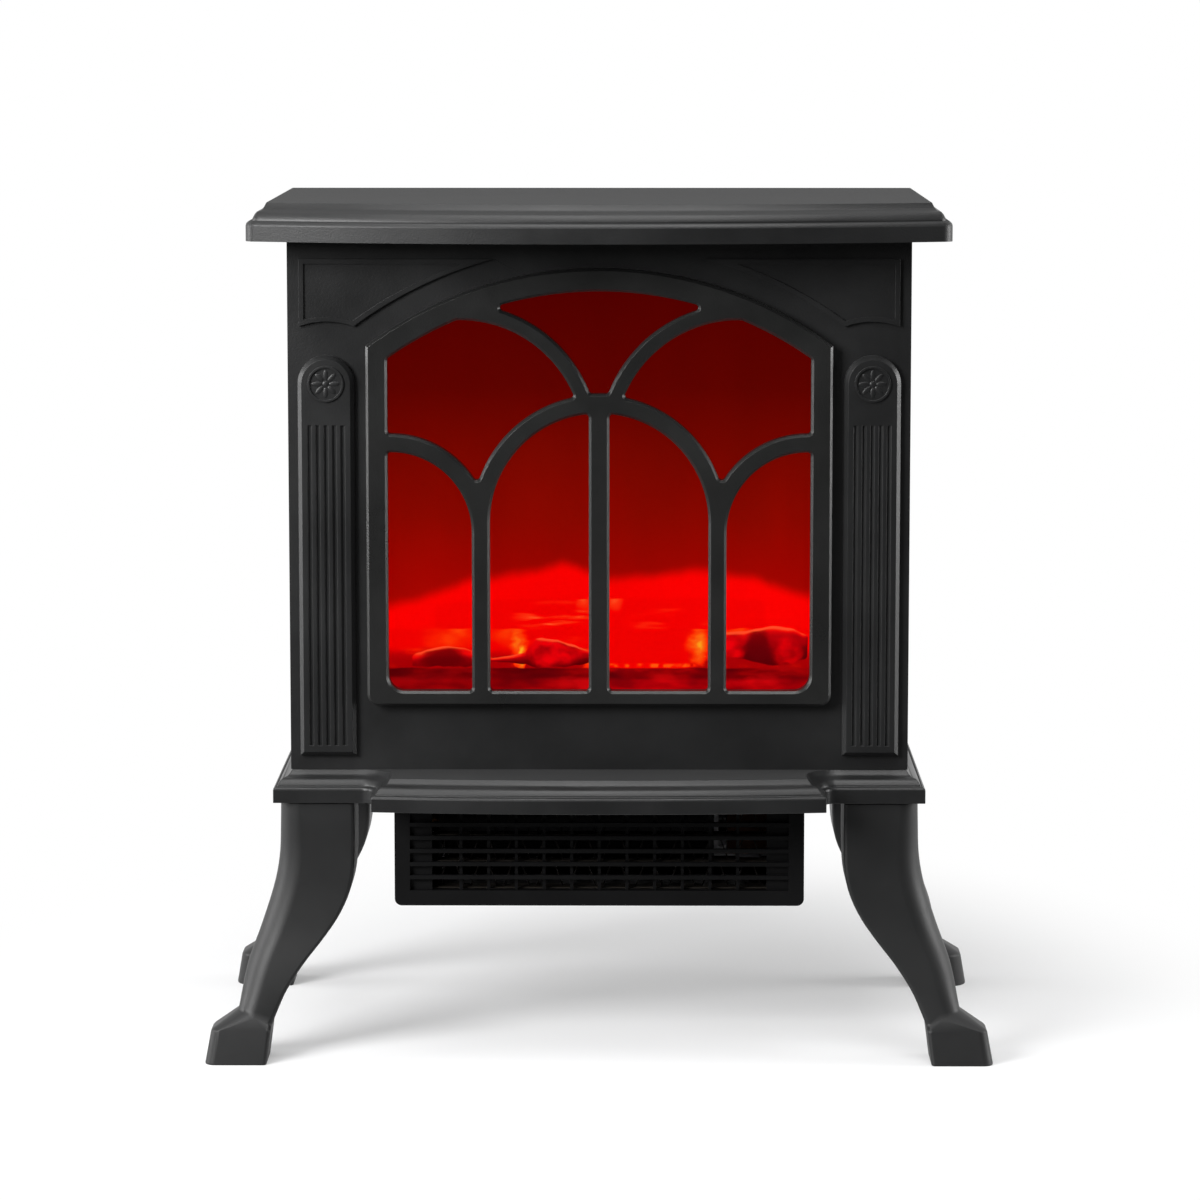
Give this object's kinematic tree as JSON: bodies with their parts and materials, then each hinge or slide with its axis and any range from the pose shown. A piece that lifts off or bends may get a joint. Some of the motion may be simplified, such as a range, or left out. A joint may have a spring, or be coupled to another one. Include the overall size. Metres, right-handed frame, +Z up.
{
  "type": "electric stove fireplace heater",
  "caption": "Free-standing electric stove heater: bowed lid, arched traceried window over glowing logs, fluted pilasters, cabriole legs, fan outlet below, rear rocker switches and thermostat.",
  "frame": {"origin": "on the floor under the middle of the whole outline", "axes": "+Z up, -Y out of the fire window, +X to the right of someone facing it"},
  "size_m": [0.496, 0.2939, 0.54],
  "materials": {
    "satin_black": "satin charcoal black moulding",
    "black_steel": "satin black powder coat",
    "leg_black": "satin charcoal black",
    "heater_black": "dark matt black",
    "window_glass": "clear, faintly smoked",
    "liner_black": "matt black",
    "bare_steel": "zinc plated",
    "black_screw": "blackened",
    "flame_screen": "translucent, lit red from behind",
    "ember_bed": "moulded resin, lit from below",
    "log_resin": "moulded resin bark",
    "board_green": "solder mask",
    "lamp_lens": "tinted lens",
    "fan_steel": "bright sheet",
    "lamination": "stacked laminations",
    "winding": "taped copper winding",
    "bush_bronze": "sintered bronze",
    "mica": "mica board",
    "ribbon": "resistance ribbon",
    "white_moulding": "heat resistant moulding",
    "control_black": "gloss black",
    "rocker_red": "translucent red rocker",
    "knob_black": "satin black",
    "gland_rubber": "soft black"
  },
  "bodies": {
    "casing": {"lid": "satin_black", "hearth": "satin_black", "floor_plate": "bare_steel", "front_panel": "satin_black", "window_frame": "satin_black", "window_glass": "window_glass", "glass_clips": "bare_steel", "side_panel_right": "black_steel", "side_panel_left": "black_steel", "back_panel": "black_steel", "back_panel_screws": "black_screw", "cable_gland": "gland_rubber", "leg_front_right": "leg_black", "leg_front_left": "leg_black", "leg_rear_right": "leg_black", "leg_rear_left": "leg_black", "leg_screws": "bare_steel", "heater_housing": "heater_black", "heater_screws": "bare_steel", "outlet_grille": "heater_black", "fan_cradle": "bare_steel", "fan_bush": "bush_bronze", "motor_stator": "lamination", "motor_coil": "winding", "motor_frame": "bare_steel", "mica_frame": "mica", "heating_wire": "ribbon", "thermal_cutout": "bare_steel", "firebox_liner": "liner_black", "flame_screen": "flame_screen", "fuel_bed": "ember_bed", "log_back": "log_resin", "log_left": "log_resin", "log_right": "log_resin", "lamp_board": "board_green", "flame_lamps": "lamp_lens", "spindle_bracket_left": "bare_steel", "spindle_bracket_right": "bare_steel", "spindle_motor": "white_moulding", "control_plate": "control_black", "thermostat_body": "white_moulding", "flame_switch_housing": "control_black", "low_heat_switch_housing": "control_black", "high_heat_switch_housing": "control_black"},
    "fan": {"fan_rotor": "fan_steel", "fan_shaft": "bare_steel", "motor_rotor": "lamination"},
    "flame_spindle": {"spindle_shaft": "bare_steel", "spindle_vanes": "fan_steel"},
    "thermostat": {"thermostat_knob": "knob_black", "thermostat_shaft": "bare_steel"},
    "flame_rocker": {"flame_switch": "rocker_red"},
    "low_heat_rocker": {"low_heat_switch": "rocker_red"},
    "high_heat_rocker": {"high_heat_switch": "rocker_red"}
  },
  "joints": [
    {"name": "fan_spin", "type": "hinge", "parent": "casing", "child": "fan", "pos_m": [0, 0.002, 0.136], "axis": [1, 0, 0], "continuous": true},
    {"name": "flame_spindle_spin", "type": "hinge", "parent": "casing", "child": "flame_spindle", "pos_m": [0, 0.058, 0.262], "axis": [1, 0, 0], "continuous": true},
    {"name": "thermostat_turn", "type": "hinge", "parent": "casing", "child": "thermostat", "pos_m": [-0.054, 0.116, 0.44], "axis": [0, 1, 0], "range_deg": [0, 270]},
    {"name": "flame_rock", "type": "hinge", "parent": "casing", "child": "flame_rocker", "pos_m": [-0.148, 0.114, 0.44], "axis": [1, 0, 0], "range_deg": [0, 22]},
    {"name": "low_heat_rock", "type": "hinge", "parent": "casing", "child": "low_heat_rocker", "pos_m": [-0.124, 0.114, 0.44], "axis": [1, 0, 0], "range_deg": [0, 22]},
    {"name": "high_heat_rock", "type": "hinge", "parent": "casing", "child": "high_heat_rocker", "pos_m": [-0.1, 0.114, 0.44], "axis": [1, 0, 0], "range_deg": [0, 22]}
  ]
}
